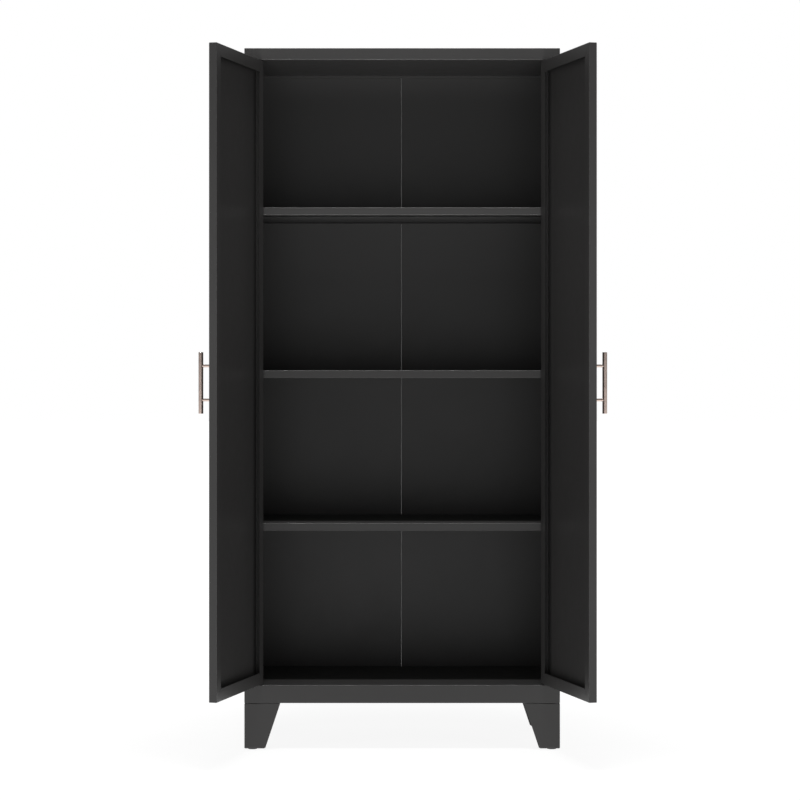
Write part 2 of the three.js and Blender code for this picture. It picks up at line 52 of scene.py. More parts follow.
from enum import Enum
from typing import Any, Sequence

import bmesh
import bpy
from mathutils import Matrix, Vector

LOG = logging.getLogger("pantry_cabinet")

MM = 0.001
SHEET = 0.8 * MM  # steel of the panels, doors and shelves
GAP = 0.3 * MM  # assembly clearance between two pieces that meet
FOLD_RADIUS = 1.6 * MM  # of a fold, at the middle of the sheet
SHARP_ANGLE = math.radians(40)  # edges sharper than this aren't shaded smooth
WELD = 0.01 * MM  # corners closer than this are one corner
LEAST_FOLD = 0.1  # radians; facets that meet flatter than this aren't folded


# ---- Node trees ----------------------------------------------------------


class NodeCanvas:
    """A node tree that is filled by calls."""

    def __init__(self, tree: bpy.types.NodeTree) -> None:
        """Keeps the shader or geometry tree that nodes are added to."""
        self.tree = tree

    def node(
        self,
        kind: str,
        settings: dict[str, Any] | None = None,
        inputs: dict[str | int, Any] | None = None,
    ) -> bpy.types.Node:
        """Adds one node.

        Args:
            kind: The node's type name.
            settings: Properties, such as a Math node's operation, which are set first.
            inputs: Values or links for its sockets, by name or number.

        Returns:
            The new node.
        """
        made = self.tree.nodes.new(kind)
        for key, value in (settings or {}).items():
            setattr(made, key, value)
        for key, value in (inputs or {}).items():
            self.feed(made.inputs[key], value)
        return made

    def feed(self, socket: bpy.types.NodeSocket, value: Any) -> None:
        """Links a socket, or sets its own value.

        Args:
            socket: The input to feed.
            value: A Value, a socket, or plain numbers.
        """
        if isinstance(value, Value):
            value = value.socket
        if isinstance(value, bpy.types.NodeSocket):
            self.tree.links.new(value, socket)
        else:
            socket.default_value = value

    def value(self, kind: str, output: str | int = 0, **words: Any) -> "Value":
        """Adds a node, as node() does, and wraps one of its outputs."""
        return Value(self, self.node(kind, **words).outputs[output])


class Value:
    """A number socket that takes part in Python expressions."""

    def __init__(self, canvas: NodeCanvas, socket: bpy.types.NodeSocket) -> None:
        """Keeps an output socket and the canvas that its Math nodes go on."""
        self.canvas = canvas
        self.socket = socket

    def _math(self, operation: str, first: Any, second: Any = None) -> "Value":
        """Adds one Math node on one or two values and returns its result."""
        inputs = {0: first} if second is None else {0: first, 1: second}
        return self.canvas.value("ShaderNodeMath", settings={"operation": operation}, inputs=inputs)

    def __add__(self, other: Any) -> "Value":
        """Sum."""
        return self._math("ADD", self, other)

    __radd__ = __add__

    def __mul__(self, other: Any) -> "Value":
        """Product."""
        return self._math("MULTIPLY", self, other)

    __rmul__ = __mul__

    def __sub__(self, other: Any) -> "Value":
        """Difference."""
        return self._math("SUBTRACT", self, other)

    def __rsub__(self, other: Any) -> "Value":
        """Difference, taken from a plain number."""
        return self._math("SUBTRACT", other, self)

    def above(self, level: float) -> "Value":
        """1 where it is more than a level, and 0 elsewhere."""
        return self._math("GREATER_THAN", self, level)

    def ramp(self, low: float, high: float) -> "Value":
        """Smooth step from 0 at low to 1 at high.

        Args:
            low: Where the step starts.
            high: Where it ends.

        Returns:
            The stepped value.
        """
        settings = {"interpolation_type": "SMOOTHSTEP"}
        inputs = {"Value": self, "From Min": low, "From Max": high}
        return self.canvas.value("ShaderNodeMapRange", settings=settings, inputs=inputs)


class ShaderCanvas(NodeCanvas):
    """The tree of one material."""

    def __init__(self, name: str) -> None:
        """Starts an empty material.

        Args:
            name: The material's name.
        """
        self.material = bpy.data.materials.new(name)
        self.material.use_nodes = True
        super().__init__(self.material.node_tree)
        self.tree.nodes.clear()
        self.place = self.node("ShaderNodeTexCoord").outputs["Object"]

    def stretched(self, scale: Sequence[float]) -> bpy.types.NodeSocket:
        """Object coordinates, scaled along X, Y and Z."""
        inputs = {"Vector": self.place, "Scale": tuple(scale)}
        return self.node("ShaderNodeMapping", inputs=inputs).outputs["Vector"]

    def noise(
        self, scale: float, detail: float, place: bpy.types.NodeSocket | None = None
    ) -> Value:
        """Noise from 0 to 1, by cycles for each metre, octaves and coordinates."""
        inputs = {"Vector": place or self.place, "Scale": scale, "Detail": detail}
        return self.value("ShaderNodeTexNoise", output="Fac", inputs=inputs)

    def blend(self, factor: Any, first: Sequence[float], second: Sequence[float]) -> Any:
        """Mixes two plain colours by a factor.

        Args:
            factor: 0 gives the first colour and 1 the second.
            first: Red, green and blue.
            second: Red, green and blue.

        Returns:
            The mixed colour's socket.
        """
        mix = self.node("ShaderNodeMix", {"data_type": "RGBA"}, {0: factor})
        mix.inputs[6].default_value = (*first, 1.0)
        mix.inputs[7].default_value = (*second, 1.0)
        return mix.outputs[2]

    def bump(self, height: Value, depth: float, strength: float = 1.0) -> bpy.types.NodeSocket:
        """Turns a height from 0 to 1, which stands for a depth in metres, into a normal."""
        inputs = {"Height": height, "Distance": depth, "Strength": strength}
        return self.node("ShaderNodeBump", inputs=inputs).outputs["Normal"]

    def principled(self, **inputs: Any) -> bpy.types.Material:
        """Ends the material in one Principled shader.

        Args:
            **inputs: Its sockets, with _ for each space in a name.

        Returns:
            The finished material.
        """
        named = {key.replace("_", " "): value for key, value in inputs.items()}
        shader = self.node("ShaderNodeBsdfPrincipled", inputs=named)
        self.node("ShaderNodeOutputMaterial", inputs={"Surface": shader.outputs[0]})
        return self.material


class GeometryCanvas(NodeCanvas):
    """A Geometry Nodes tree with named inputs for its sizes."""

    def __init__(self, name: str, sizes: dict[str, float | int]) -> None:
        """Starts the tree.

        Args:
            name: The tree's name.
            sizes: Its inputs; whole numbers become whole-number sockets.
        """
        super().__init__(bpy.data.node_groups.new(name, "GeometryNodeTree"))
        face = self.tree.interface
        face.new_socket("Geometry", in_out="OUTPUT", socket_type="NodeSocketGeometry")
        face.new_socket("Geometry", in_out="INPUT", socket_type="NodeSocketGeometry")
        for label, size in sizes.items():
            kind = "NodeSocketInt" if isinstance(size, int) else "NodeSocketFloat"
            face.new_socket(label, in_out="INPUT", socket_type=kind)
        self.sizes = sizes
        self.entry = self.node("NodeGroupInput").outputs

    def size(self, label: str) -> Value:
        """A named input, for use in an expression."""
        return Value(self, self.entry[label])

    def made(self, kind: str, **words: Any) -> bpy.types.NodeSocket:
        """Adds a node, as node() does, and returns its first output."""
        return self.node(kind, **words).outputs[0]

    def end(self, geometry: bpy.types.NodeSocket, material: bpy.types.Material) -> None:
        """Ends the tree in real geometry with one material.

        Args:
            geometry: What the tree has made.
            material: Its material.
        """
        real = self.made("GeometryNodeRealizeInstances", inputs={"Geometry": geometry})
        inputs = {"Geometry": real, "Material": material}
        painted = self.made("GeometryNodeSetMaterial", inputs=inputs)
        self.node("NodeGroupOutput", inputs={"Geometry": painted})

    def put_on(self, piece: bpy.types.Object) -> None:
        """Adds the tree to a piece and sets its inputs by their identifiers.

        Args:
            piece: The object whose mesh goes in.
        """
        modifier = piece.modifiers.new(self.tree.name, "NODES")
        modifier.node_group = self.tree
        for item in self.tree.interface.items_tree:
            if item.in_out == "INPUT" and item.name in self.sizes:
                modifier[item.identifier] = self.sizes[item.name]


# ---- Finishes ------------------------------------------------------------


@dataclass(frozen=True)
class PowderCoat:
    """Charcoal powder coat with an orange peel; its folds are painted lighter, partly as wear and partly
    as a painted highlight, and are a little glossier.
    """

    name: str
    colour: tuple[float, float, float]
    roughness: float
    peel_size: float = 1.1 * MM
    peel_depth: float = 0.012 * MM
    mottle: float = 0.10
    shades: tuple[float, float] = (0.86, 1.14)  # darkest and lightest paint, as shares of its colour
    cloud_scale: float = 5.0  # cycles for each metre
    grime_scale: float = 38.0
    fold_wear_and_sheen_scale: float = 60.0
    # how much lighter the folds are painted: wear and a painted highlight
    fold_wear_and_sheen_lift: float = 1.8
    rub_polish: float = 0.12

    def build(self) -> bpy.types.Material:
        """Makes the material.

        Returns:
            The material.
        """
        canvas = ShaderCanvas(self.name)
        cloud = canvas.noise(self.cloud_scale, detail=3.0)
        grime = canvas.noise(self.grime_scale, detail=4.0)
        fold = canvas.value(
            "ShaderNodeAttribute", output="Fac", settings={"attribute_name": "fold"}
        )
        # patches on the folds: worn paint and a painted highlight; they lighten the paint and lower its
        # roughness
        fold_wear_and_sheen = fold * canvas.noise(self.fold_wear_and_sheen_scale, detail=3.0).ramp(0.35, 0.65)
        tone = (cloud - 0.5) * self.mottle * 2.0 + (grime - 0.5) * self.mottle + 0.5
        darker, lighter = [tuple(shade * c for c in self.colour) for shade in self.shades]
        # the fold patches paint the colour lighter, partly as wear and partly as a painted highlight
        paint = canvas.blend(tone + fold_wear_and_sheen * self.fold_wear_and_sheen_lift, darker, lighter)
        roughness = (cloud - 0.5) * 0.10 + (grime - 0.5) * 0.10 + self.roughness
        coarse = canvas.noise(1.0 / self.peel_size, detail=2.0)
        peel = coarse + canvas.noise(3.2 / self.peel_size, detail=1.0) * 0.35
        return canvas.principled(
            Base_Color=paint,
            Roughness=roughness - fold_wear_and_sheen * self.rub_polish,
            Normal=canvas.bump(peel, self.peel_depth),
            IOR=1.5,
        )


@dataclass(frozen=True)
class BrushedMetal:
    """Plated metal, brushed in fine lines along one axis."""

    name: str
    colour: tuple[float, float, float]
    roughness: float
    line_width: float = 0.12 * MM
    line_length: float = 18.0 * MM
    along: int = 2
    tarnish: float = 0.12
    line_depth: float = 0.004 * MM
    cloud_scale: float = 45.0  # cycles for each metre
    dulled: float = 0.8  # tarnished colour, as a share of its colour

    def build(self) -> bpy.types.Material:
        """Makes the material.

        Returns:
            The material.
        """
        canvas = ShaderCanvas(self.name)
        scale = [1.0 / self.line_width] * 3
        scale[self.along] = 1.0 / self.line_length
        lines = canvas.noise(1.0, detail=3.0, place=canvas.stretched(scale))
        cloud = canvas.noise(self.cloud_scale, detail=3.0)
        dull = tuple(self.dulled * c for c in self.colour)
        bright = (cloud - 0.5) * self.tarnish * 4.0 + lines * 0.5 + 0.25
        return canvas.principled(
            Base_Color=canvas.blend(bright, dull, self.colour),
            Metallic=1.0,
            Roughness=(lines - 0.5) * 0.22 + (cloud - 0.5) * 0.12 + self.roughness,
            Normal=canvas.bump(lines, self.line_depth, strength=0.6),
        )


@dataclass(frozen=True)
class MouldedPlastic:
    """Dull moulded plastic with a fine spark-eroded grain."""

    name: str
    colour: tuple[float, float, float]
    roughness: float = 0.55
    grain_scale: float = 2600.0  # cycles for each metre
    grain_depth: float = 0.01 * MM
    scuff_scale: float = 140.0

    def build(self) -> bpy.types.Material:
        """Makes the material.

        Returns:
            The material.
        """
        canvas = ShaderCanvas(self.name)
        grain = canvas.noise(self.grain_scale, detail=2.0)
        scuff = canvas.noise(self.scuff_scale, detail=4.0)
        pale = tuple(1.5 * c + 0.004 for c in self.colour)
        return canvas.principled(
            Base_Color=canvas.blend(scuff.ramp(0.45, 0.8) * 0.6, self.colour, pale),
            Roughness=(scuff - 0.5) * 0.2 + self.roughness,
            Normal=canvas.bump(grain, self.grain_depth),
        )


class Finish(Enum):
    """Every finish on the cabinet."""

    BODY = PowderCoat("powder_coat_body", (0.0365, 0.0355, 0.0350), 0.46)
    DOOR = PowderCoat("powder_coat_door", (0.0335, 0.0325, 0.0320), 0.33, peel_depth=0.008 * MM)
    ROSE = BrushedMetal("rose_gold_plating", (0.83, 0.665, 0.59), 0.15)
    ZINC = BrushedMetal("zinc_plating", (0.66, 0.67, 0.70), 0.36, along=0, tarnish=0.2)
    BLACK_ZINC = BrushedMetal("black_zinc_plating", (0.15, 0.15, 0.16), 0.38, along=0, tarnish=0.3)
    NYLON = MouldedPlastic("black_nylon", (0.014, 0.014, 0.015))
    FERRITE = MouldedPlastic("ferrite", (0.03, 0.03, 0.032), 0.42)

    @property
    def material(self) -> bpy.types.Material:
        """The finish's material, made the first time that it is asked for."""
        return bpy.data.materials.get(self.value.name) or self.value.build()


# ---- Meshes --------------------------------------------------------------


def plain_mesh(piece: bpy.types.Object) -> None:
    """Bakes a piece's modifiers into its mesh and removes them.

    Args:
        piece: The object to settle.
    """
    bpy.context.view_layer.update()
    graph = bpy.context.evaluated_depsgraph_get()
    baked = bpy.data.meshes.new_from_object(piece.evaluated_get(graph), depsgraph=graph)
    piece.modifiers.clear()
    piece.data = baked


def smooth(piece: bpy.types.Object) -> None:
    """Shades a piece smooth across its small faces and keeps its large ones flat.

    Args:
        piece: The object to shade.
    """
    piece.data.shade_smooth()
    piece.data.set_sharp_from_angle(angle=SHARP_ANGLE)
    weigh = piece.modifiers.new("weigh", "WEIGHTED_NORMAL")
    weigh.keep_sharp = True
    plain_mesh(piece)


def new_object(name: str, mesh: bpy.types.Mesh, finish: Finish) -> bpy.types.Object:
    """Puts a mesh in the scene with one finish.

    Args:
        name: The piece's name.
        mesh: Its mesh, in the row frame.
        finish: What it is covered with.

    Returns:
        The new object.
    """
    mesh.materials.clear()
    mesh.materials.append(finish.material)
    piece = bpy.data.objects.new(name, mesh)
    bpy.context.scene.collection.objects.link(piece)
    return piece


def settle(piece: bpy.types.Object, body: str, finish: Finish, *nodes: str) -> None:
    """Gives a finished piece its body and the CAD nodes it stands for.

    Args:
        piece: The finished piece.
        body: The CAD body that it rides on.
        finish: Its finish; not used.
        *nodes: CAD nodes that it replaces.
    """
    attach(piece, body)
    if nodes:
        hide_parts(*nodes)
    LOG.info("%s on %s, %d faces", piece.name, body, len(piece.data.polygons))


@dataclass
class FoldedSheet:
    """One sheet of steel, drawn as flat facets through the middle of its thickness."""

    thickness: float = SHEET
    radius: float = FOLD_RADIUS
    steps: int = 4
    facets: list[list[Vector]] = field(default_factory=list)
    repeated: list[int] = field(default_factory=list)

    def facet(self, *corners: Sequence[float]) -> None:
        """Adds one flat facet by its corners in order, shared with those it is folded from."""
        self.facets.append([Vector(corner) for corner in corners])

    def grid(
        self, section: Sequence[Sequence[float]], levels: Sequence[float],
        skip: tuple[int, int] | None = None,
    ) -> None:
        """Adds an upright folded strip, cut into rows, with one facet left out as a slot.

        Args:
            section: Its corners in plan.
            levels: The heights of its rows.
            skip: The row and the side of the facet to leave out, or None.
        """
        for row, (low, high) in enumerate(zip(levels, levels[1:])):
            for place, (start, end) in enumerate(zip(section, section[1:])):
                if (row, place) != skip:
                    self.facet((*start, low), (*end, low), (*end, high), (*start, high))

    def mark_repeated(self, first: int) -> None:
        """Says that the facets from this number on are the cell that a tree repeats."""
        self.repeated = list(range(first, len(self.facets)))

    def build(
        self,
        name: str,
        node: str,
        body: str = "carcass",
        finish: Finish = Finish.BODY,
        place: Matrix | None = None,
        repeat: GeometryCanvas | None = None,
    ) -> None:
        """Rounds the folds, gives the sheet its thickness and settles it.

        Args:
            name: The piece's name.
            node: The CAD node that it replaces.
            body: The CAD body that it rides on.
            finish: Its finish.
            place: From the sheet's own frame to the row frame, or None if they are one.
            repeat: The tree that repeats its marked cell, or None.
        """
        sheet = bmesh.new()
        cell = sheet.faces.layers.float.new("cell")
        for number, corners in enumerate(self.facets):
            face = sheet.faces.new([sheet.verts.new(corner) for corner in corners])
            face[cell] = float(number in self.repeated)
        bmesh.ops.remove_doubles(sheet, verts=sheet.verts[:], dist=WELD)
        bmesh.ops.recalc_face_normals(sheet, faces=sheet.faces[:])
        mark = sheet.faces.layers.float.new("fold")
        folds = [e for e in sheet.edges if len(e.link_faces) == 2 and e.calc_face_angle() > LEAST_FOLD]
        rounded = bmesh.ops.bevel(
            sheet, geom=folds, offset=self.radius, segments=self.steps, profile=0.5,
            affect="EDGES", clamp_overlap=True,
        )
        for face in rounded["faces"]:
            face[mark] = 1.0
        mesh = bpy.data.meshes.new(name)
        sheet.to_mesh(mesh)
        sheet.free()
        piece = new_object(name, mesh, finish)
        if repeat is not None:
            repeat.put_on(piece)
        thicken = piece.modifiers.new("thicken", "SOLIDIFY")
        thicken.thickness = self.thickness
        thicken.offset = 0.0
        thicken.use_even_offset = True
        plain_mesh(piece)
        if place is not None:
            piece.data.transform(place)
        smooth(piece)
        settle(piece, body, finish, node)


def cut_with(piece: bpy.types.Object, cutter: bpy.types.Object) -> None:
    """Takes one object's shape out of another and deletes it.

    Args:
        piece: The object to cut.
        cutter: The shape to take out.
    """
    cut = piece.modifiers.new("cut", "BOOLEAN")
    cut.object = cutter
    cut.operation = "DIFFERENCE"
    cut.use_self = True
    plain_mesh(piece)
    bpy.data.objects.remove(cutter)


@dataclass
class Pan:
    """A shallow tray: a skin, its four edges folded down, and lips returned inwards.

    The skin lies at Z = 0 over [0, width] by [0, length], and the edges hang from it.
    """

    width: float
    length: float
    depth: float
    lip: float
    radius: float = FOLD_RADIUS
    mitre: float = 0.5 * MM
    far_lip: bool = True

    def sheet(self) -> FoldedSheet:
        """Draws the pan's facets.

        Returns:
            The sheet, not yet folded.
        """
        half = SHEET / 2
        low, right, far = half, self.width - half, self.length - half
        drop = -self.depth + half
        sheet = FoldedSheet(radius=self.radius)
        top = [(low, low), (right, low), (right, far), (low, far)]
        sheet.facet(*[(x, y, -half) for x, y in top])
        inward = [Vector((0, 1, 0)), Vector((-1, 0, 0)), Vector((0, -1, 0)), Vector((1, 0, 0))]
        lips = [self.lip, self.lip, self.lip if self.far_lip else 0.0, self.lip]
        for side, lip in enumerate(lips):
            start, end = top[side], top[(side + 1) % 4]
            sheet.facet((*start, -half), (*end, -half), (*end, drop), (*start, drop))
            if lip <= 0:
                continue
            first, last = Vector((*start, drop)), Vector((*end, drop))
            along = (last - first).normalized()
            before, after = [self.mitre + min(lip, lips[(side + step) % 4]) for step in (-1, 1)]
            sheet.facet(
                first, last,
                last + inward[side] * lip - along * after,
                first + inward[side] * lip + along * before,
            )
        return sheet


def pan_over(node: str, name: str, body: str, lip: float, far_lip: bool = True) -> None:
    """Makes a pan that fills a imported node's box, with its skin on top.

    Args:
        node: The CAD node that it replaces.
        name: The piece's name.
        body: The CAD body that it rides on.
        lip: The width of its lips.
        far_lip: Whether its rear edge has a lip.
    """
    low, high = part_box(node)
    pan = Pan(high[0] - low[0], high[1] - low[1], high[2] - low[2], lip, far_lip=far_lip)
    pan.sheet().build(name, node, body, place=Matrix.Translation((low[0], low[1], high[2])))


def turned(
    name: str, section: Sequence[tuple[float, float]], finish: Finish, place: Matrix,
    facets: int = 48,
) -> bpy.types.Object:
    """Spins a half section about the Z axis.

    Args:
        name: The piece's name.
        section: Points of radius and height; those on the axis have radius 0.
        finish: Its finish.
        place: From the section's frame to the row frame.
        facets: How many sides the round has.

    Returns:
        The finished piece.
    """
    body = bmesh.new()
    line = [body.verts.new((radius, 0.0, height)) for radius, height in section]
    edges = [body.edges.new(pair) for pair in zip(line, line[1:])]
    if section[0][0] > 0:
        edges.append(body.edges.new((line[-1], line[0])))
    bmesh.ops.spin(
        body, geom=line + edges, axis=(0, 0, 1), cent=(0, 0, 0), dvec=(0, 0, 0),
        angle=math.tau, steps=facets, use_merge=True, use_normal_flip=False, use_duplicate=False,
    )
    bmesh.ops.remove_doubles(body, verts=body.verts[:], dist=0.002 * MM)
    bmesh.ops.recalc_face_normals(body, faces=body.faces[:])
    mesh = bpy.data.meshes.new(name)
    body.to_mesh(mesh)
    body.free()
    mesh.transform(place)
    piece = new_object(name, mesh, finish)
    smooth(piece)
    return piece


def round_corner(
    centre: tuple[float, float], radius: float, start: float, end: float, steps: int = 6
) -> list[tuple[float, float]]:
    """Points on an arc of a half section.

    Args:
        centre: The arc's centre.
        radius: The arc's radius.
        start: Its first angle, in degrees.
        end: Its last angle, in degrees.
        steps: How many pieces it is cut in.

    Returns:
        The points.
    """
    turn = [math.radians(start + (end - start) * i / steps) for i in range(steps + 1)]
    return [(centre[0] + radius * math.cos(a), centre[1] + radius * math.sin(a)) for a in turn]


# ---- The frame's own places ----------------------------------------------


@dataclass(frozen=True)
class Envelope:
    """Outer faces of the cabinet's body in the row frame, in metres."""

    half_width: float
    front: float
    back: float
    base: float
    floor: float
    rail: float
    top: float

    @classmethod
    def from_frame(cls) -> "Envelope":
        """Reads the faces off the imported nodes.

        Returns:
            The envelope.
        """
        cap_low, cap_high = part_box("top_panel")
        base_low, base_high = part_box("base_panel")
        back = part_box("left_side_panel")[1][1]
        return cls(cap_high[0], cap_low[1], back, base_low[2], base_high[2], cap_low[2], cap_high[2])


SIDES = (("left", -1), ("right", 1))


# ---- Body panels ---------------------------------------------------------


@dataclass
class BodyPanels:
    """The top, the ceiling, the base, and the sides and back that stand between them."""

    envelope: Envelope
    lip: float = 20 * MM
    stile_width: float = 25 * MM
    stile_depth: float = 20 * MM
    stile_lip: float = 15 * MM
    rear_flange: float = 20 * MM
    side_tab: float = 18 * MM
    tab_setback: float = 28 * MM
    tab_relief: float = 2 * MM
    lap: float = 0.35 * MM  # of a wall's plain edges over the folds above and below
    liner_rise: float = 7 * MM
    hem: float = 12 * MM
    hem_step: float = 1.0 * MM
    hem_fold: float = 0.45 * MM
    seam: float = 0.1 * MM
    liner_fold: float = 1.0 * MM
    liner_notch: float = 4 * MM
    corner_relief: float = 4 * MM
    tab_taper: float = 4 * MM

    def build(self) -> None:
        """Makes every panel of the body."""
        pan_over("top_panel", "top_panel_cap", "carcass", self.lip, far_lip=False)
        pan_over("base_panel", "base_panel_box", "carcass", self.lip)
        self._liner()
        for word, side in SIDES:
            self._side(word, side)
            self._back(word, side)

    def _liner(self) -> None:
        """Makes the ceiling: skirts stand on the top panel's lips, and its rear edge turns up."""
        low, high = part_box("ceiling_liner")
        half = SHEET / 2
        left, right, near, far = low[0] + half, high[0] - half, low[1] + half, high[1] - half
        skin = self.envelope.rail + self.liner_rise + half
        notch = far - self.liner_notch
        sheet = FoldedSheet(radius=self.liner_fold)
        plan = [(left, notch), (left, near), (right, near), (right, notch)]
        sheet.facet(*[(x, y, skin) for x, y in plan + [(right, far), (left, far)]])
        for start, end in zip(plan, plan[1:]):
            sheet.facet((*start, skin), (*end, skin), (*end, low[2]), (*start, low[2]))
        sheet.facet((left, far, skin), (right, far, skin), (right, far, high[2]), (left, far, high[2]))
        sheet.build("ceiling_tray", "ceiling_liner")

    def _side(self, word: str, side: int) -> None:
        """Makes a side: stile, wall and rear flange, with a tab at its top and bottom.

        Args:
            word: "left" or "right".
            side: -1 for left and 1 for right.
        """
        box = self.envelope
        half = SHEET / 2
        low, high = box.floor + GAP + half, box.rail - GAP - half
        wall = side * (box.half_width - half)
        edge = side * (box.half_width - self.stile_width + half)
        front, back = box.front + half, box.back - half
        stile_back = box.front + self.stile_depth - half
        foot, head = box.floor + GAP, box.rail - GAP
        deep, tall = box.floor - self.lap, box.rail + self.lap
        first, last = box.front + self.tab_setback, box.back - self.tab_setback
        corner = front + self.corner_relief
        before, after = first - self.tab_relief, last + self.tab_relief
        sheet = FoldedSheet()
        stile_end = edge + side * self.stile_lip
        section = [(stile_end, stile_back), (edge, stile_back), (edge, front), (wall, front)]
        sheet.grid(section, (foot, head))
        sheet.facet(
            (wall, front, foot), (wall, corner, deep), (wall, before, deep), (wall, first, low),
            (wall, last, low), (wall, after, deep), (wall, back, deep), (wall, back, tall),
            (wall, after, tall), (wall, last, high), (wall, first, high), (wall, before, tall),
            (wall, corner, tall), (wall, front, head),
        )
        flange = side * (box.half_width - self.rear_flange)
        sheet.grid([(wall, back), (flange, back)], (deep, tall))
        tab = side * (box.half_width - self.side_tab)
        for level in (low, high):
            sheet.facet(
                (wall, first, level), (wall, last, level),
                (tab, last - self.tab_taper, level), (tab, first + self.tab_taper, level),
            )
        sheet.build(f"{word}_side_wall", f"{word}_side_panel")

    def _back(self, word: str, side: int) -> None:
        """Makes half of the back: a flat sheet, with its centre edge folded flat behind it.

        Args:
            word: "left" or "right".
            side: -1 for left and 1 for right.
        """
        low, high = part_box(f"{word}_back_panel")
        half = SHEET / 2
        plane = self.envelope.back - SHEET - GAP - half
        behind = plane + self.hem_step
        inner = side * (self.seam / 2 + half)
        outer = high[0] if side > 0 else low[0]
        turned_in = inner + side * self.hem
        sheet = FoldedSheet(radius=self.hem_fold)
        section = [(outer, plane), (inner, plane), (inner, behind), (turned_in, behind)]
        sheet.grid(section, (low[2], high[2]))
        sheet.build(f"{word}_back_wall", f"{word}_back_panel")


# ---- Slotted strips ------------------------------------------------------


def repeated_cell(count: int, pitch: float, finish: Finish) -> GeometryCanvas:
    """Plants a tree that repeats a sheet's marked cell upwards and welds the copies together.

    Args:
        count: How many cells there are.
        pitch: The distance from one to the next.
        finish: The finished strip's finish.

    Returns:
        The tree.
    """
    tree = GeometryCanvas("repeated_cell", {"Count": count, "Pitch": pitch})
    marked = tree.made(
        "GeometryNodeInputNamedAttribute", settings={"data_type": "FLOAT"}, inputs={"Name": "cell"}
    )
    parts = tree.node(
        "GeometryNodeSeparateGeometry", {"domain": "FACE"},
        {"Geometry": tree.entry["Geometry"], "Selection": Value(tree, marked).above(0.5)},
    ).outputs
    step = tree.made("ShaderNodeCombineXYZ", inputs={"Z": tree.size("Pitch")})
    line = tree.made("GeometryNodeMeshLine", inputs={"Count": tree.size("Count"), "Offset": step})
    copies = tree.made(
        "GeometryNodeInstanceOnPoints", inputs={"Points": line, "Instance": parts["Selection"]}
    )
    joined = tree.node("GeometryNodeJoinGeometry")
    tree.feed(joined.inputs[0], tree.made("GeometryNodeRealizeInstances", inputs={"Geometry": copies}))
    tree.feed(joined.inputs[0], parts["Inverted"])
    welded = tree.made(
        "GeometryNodeMergeByDistance", inputs={"Geometry": joined.outputs[0], "Distance": 4 * WELD}
    )
    tree.end(welded, finish.material)
    return tree


@dataclass
class SlottedStrip:
    """An upright channel with a slot at every height that a shelf can take."""

    corner: str
    side: int
    sheet: float = 1 * MM
    fold: float = 1.5 * MM
    slot_width: float = 14 * MM
    slot_height: float = 4 * MM
    pitch: float = 25.9 * MM
    count: int = 53
    clip_rise: float = 16.75 * MM
    slots_below: int = 11

    def build(self) -> None:
        """Makes the strip from one slotted cell and two plain ends."""
        node = f"{self.corner}_slotted_strip"
        low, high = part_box(node)
        half = self.sheet / 2
        face, wall = (high[0] - half, low[0]) if self.side < 0 else (low[0] + half, high[0])
        near, far, middle = low[1] + half, high[1] - half, (low[1] + high[1]) / 2
        mouth = (middle - self.slot_width / 2, middle + self.slot_width / 2)
        face_line = [(face, y) for y in (near, *mouth, far)]
        section = [(wall, near), *face_line, (wall, far)]
        clip_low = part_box("lower_shelf_clip_front_left")[0][2]
        slot = clip_low + self.clip_rise - self.slots_below * self.pitch
        first, last = slot - self.pitch / 2, slot + (self.count - 0.5) * self.pitch
        sheet = FoldedSheet(thickness=self.sheet, radius=self.fold, steps=3)
        sheet.grid(section, (low[2], first))
        sheet.grid(section, (last, high[2]))
        ends = len(sheet.facets)
        rows = (first, slot - self.slot_height / 2, slot + self.slot_height / 2, first + self.pitch)
        sheet.grid(section, rows, skip=(1, 2))
        sheet.mark_repeated(ends)
        tree = repeated_cell(self.count, self.pitch, Finish.BODY)
        sheet.build(f"{self.corner}_slotted_channel", node, repeat=tree)


# ---- Fasteners -----------------------------------------------------------

BACK_SEED = 10  # first of the back rows' seeds; the flanges take 0 and 1
TAB_SEED = 20
LEG_SEED = 40
HEAD_WALL = 0.45  # upright part of a screw head, of its height
HEAD_ROUND = 0.5  # radius of its rounded edge, of its height
HEAD_CROWN = 1.02  # level of its middle, of its height
CROSS_LENGTH = 1.1  # of each arm of its recess, in head radii
CROSS_WIDTH = 0.22  # of the same arm


def fastener_row(count: int, pitch: float, seed: int) -> GeometryCanvas:
    """Plants a tree that sets a fastener along X, each driven to its own angle.

    Args:
        count: How many there are.
        pitch: The distance from one to the next.
        seed: Fixes the angles.

    Returns:
        The tree.
    """
    tree = GeometryCanvas("fastener_row", {"Count": count, "Pitch": pitch, "Seed": seed})
    step = tree.made("ShaderNodeCombineXYZ", inputs={"X": tree.size("Pitch")})
    line = tree.made("GeometryNodeMeshLine", inputs={"Count": tree.size("Count"), "Offset": step})
    angle = tree.node(
        "FunctionNodeRandomValue", {"data_type": "FLOAT"}, {3: math.tau, "Seed": tree.size("Seed")}
    ).outputs[1]
    turn = tree.made("ShaderNodeCombineXYZ", inputs={"Z": angle})
    inputs = {"Points": line, "Instance": tree.entry["Geometry"], "Rotation": turn}
    tree.end(tree.made("GeometryNodeInstanceOnPoints", inputs=inputs), Finish.BLACK_ZINC.material)
    return tree


@dataclass(frozen=True)
class ScrewRow:
    """A row of low screw heads on the carcass, along its own X."""

    count: int
    pitch: float
    seed: int
    radius: float = 3.6 * MM
    height: float = 1.1 * MM

    def build(self, name: str, place: Matrix) -> None:
        """Makes the row.

        Args:
            name: The piece's name.
            place: From the row's own frame to the cabinet's.
        """
        tree = fastener_row(self.count, self.pitch, self.seed)
        finish = Finish.BLACK_ZINC
        piece = pan_head(name, place, self.radius, self.height, finish, sides=20, repeat=tree)
        settle(piece, "carcass", finish)


